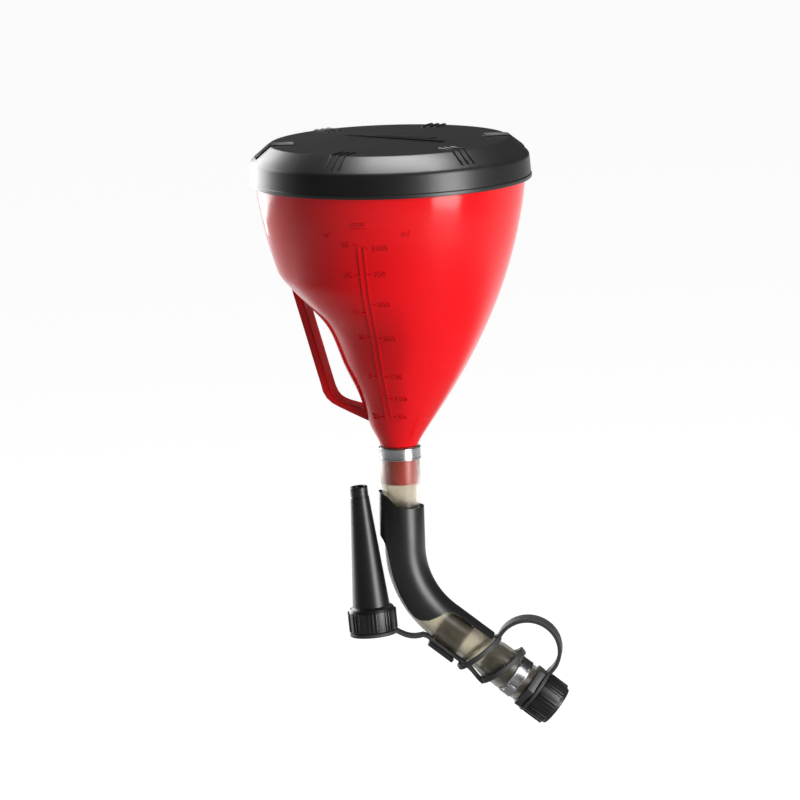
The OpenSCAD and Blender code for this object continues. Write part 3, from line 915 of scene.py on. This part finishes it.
def camera():
    """A long lens from the front and a little above, rolled as the funnel hangs."""
    distance, height, sight, across = 4035.0, 711.0, 27.0, 1.2
    view_width = 474.8
    bpy.ops.object.camera_add()
    eye = bpy.context.object
    drop = atan2(height - sight, distance)
    eye.matrix_world = (Matrix.Translation(Vector((across, -distance, height)) * MM)
                        @ Matrix.Rotation(pi / 2 - drop, 4, "X") @ Matrix.Rotation(radians(-1.95), 4, "Z"))
    reach = sqrt(distance ** 2 + (height - sight) ** 2)
    eye.data.lens = eye.data.sensor_width * reach / view_width
    eye.data.clip_end = 100
    bpy.context.scene.camera = eye
    return eye


def softbox(at, aim, size, power):
    """A soft light of a width and a height, in metres, turned towards a point."""
    bpy.ops.object.light_add(type="AREA", location=at)
    lamp = bpy.context.object
    lamp.data.shape = "RECTANGLE"
    lamp.data.size, lamp.data.size_y = size
    lamp.data.energy = power
    lamp.rotation_euler = (Vector(aim) - Vector(at)).to_track_quat("-Z", "Y").to_euler()
    return lamp


def studio():
    """A pale floor far below, softboxes behind on the left, before on the right and above, and a dim room."""
    put_down()
    bpy.ops.mesh.primitive_circle_add(vertices=64, radius=14, fill_type="NGON", location=(0, 0, -0.62))
    floor = bpy.context.object
    floor.name = "floor"
    floor.data.materials.append(floor_paint())
    softbox((-1.0, 1.1, 0.35), (0, 0, 0.05), (1.2, 1.2), 34)
    softbox((1.33, -1.17, 0.16), (0, 0, 0.02), (0.8, 1.45), 52)
    softbox((0.2, 0.12, 1.7), (0.2, 0.12, 0), (1.0, 0.4), 38)
    world = bpy.data.worlds.new("studio")
    bpy.context.scene.world = world
    world.use_nodes = True
    room = world.node_tree.nodes["Background"]
    room.inputs["Color"].default_value = (1, 1, 1, 1)
    room.inputs["Strength"].default_value = 0.06
    bpy.context.scene.view_settings.view_transform = "Standard"


# ---------------------------------------------------------------- the whole funnel

FINISHES = {"red_plastic": red_plastic(),
            "black_plastic": black_plastic("black plastic", 0.006, 0.27, 0.7, 0.012),
            "clear_hose": clear_hose(), "steel": steel(),
            "dark_plastic": black_plastic("dark plastic", 0.022, 0.40, 0.9, 0.012),
            "rubber": black_plastic("rubber", 0.020, 0.52, 0.5, 0.02)}


def belongs(piece, finish, nodes=(), body=None):
    """Gives a piece its finish, the CAD nodes it stands for and the body it rides on."""
    piece.data.materials.clear()
    piece.data.materials.append(FINISHES[finish])
    if body or nodes:
        piece.name = "made_" + piece.name.split(".")[0].replace(" ", "_")
    if nodes:
        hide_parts(*nodes)
    if body:
        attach(piece, body)
    return piece


def put_together():
    shell, marks = bowl()
    belongs(shell, "red_plastic", ["funnel_bowl"], "base")
    belongs(marks, "red_plastic", body="base")
    belongs(lid(), "black_plastic", ["lid"], "lid")
    belongs(hose(), "clear_hose", ["hose"], "base")
    upper, lower = clamps()
    belongs(upper, "steel", ["upper_hose_clamp"], "base")
    belongs(lower, "steel", ["lower_hose_clamp"], "base")
    belongs(bend_holder(), "black_plastic", ["bend_holder"], "base")
    belongs(nipple(), "dark_plastic", ["outlet_nipple"], "base")
    belongs(cap(), "black_plastic", ["outlet_cap"], "cap")
    belongs(nozzle(), "black_plastic", ["nozzle"], "nozzle")
    cap_ring, loop, cap_eye, runner, link, nozzle_eye, root, tip, pivot, reach = straps()
    belongs(cap_ring, "rubber", body="base")
    belongs(loop, "rubber", ["cap_strap"])
    root[0] * MM
    root[1] * MM
    tip[0] * MM
    tip[1] * MM
    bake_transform(loop)
    belongs(cap_eye, "rubber", ["cap_eye"], "cap_eye")
    belongs(runner, "rubber", ["nozzle_strap_ring"], "base")
    belongs(link, "rubber", ["nozzle_strap_link"])
    start = outlet_point(HINGE_OUT, HINGE_AT + 4)
    start[0] * MM
    start[1] * MM
    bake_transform(link)
    belongs(nozzle_eye, "rubber", ["nozzle_eye"], "nozzle_link")
    for name in ("cap_seal", "nozzle_seal"):
        belongs(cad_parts[name], "rubber")


put_together()
camera()
studio()
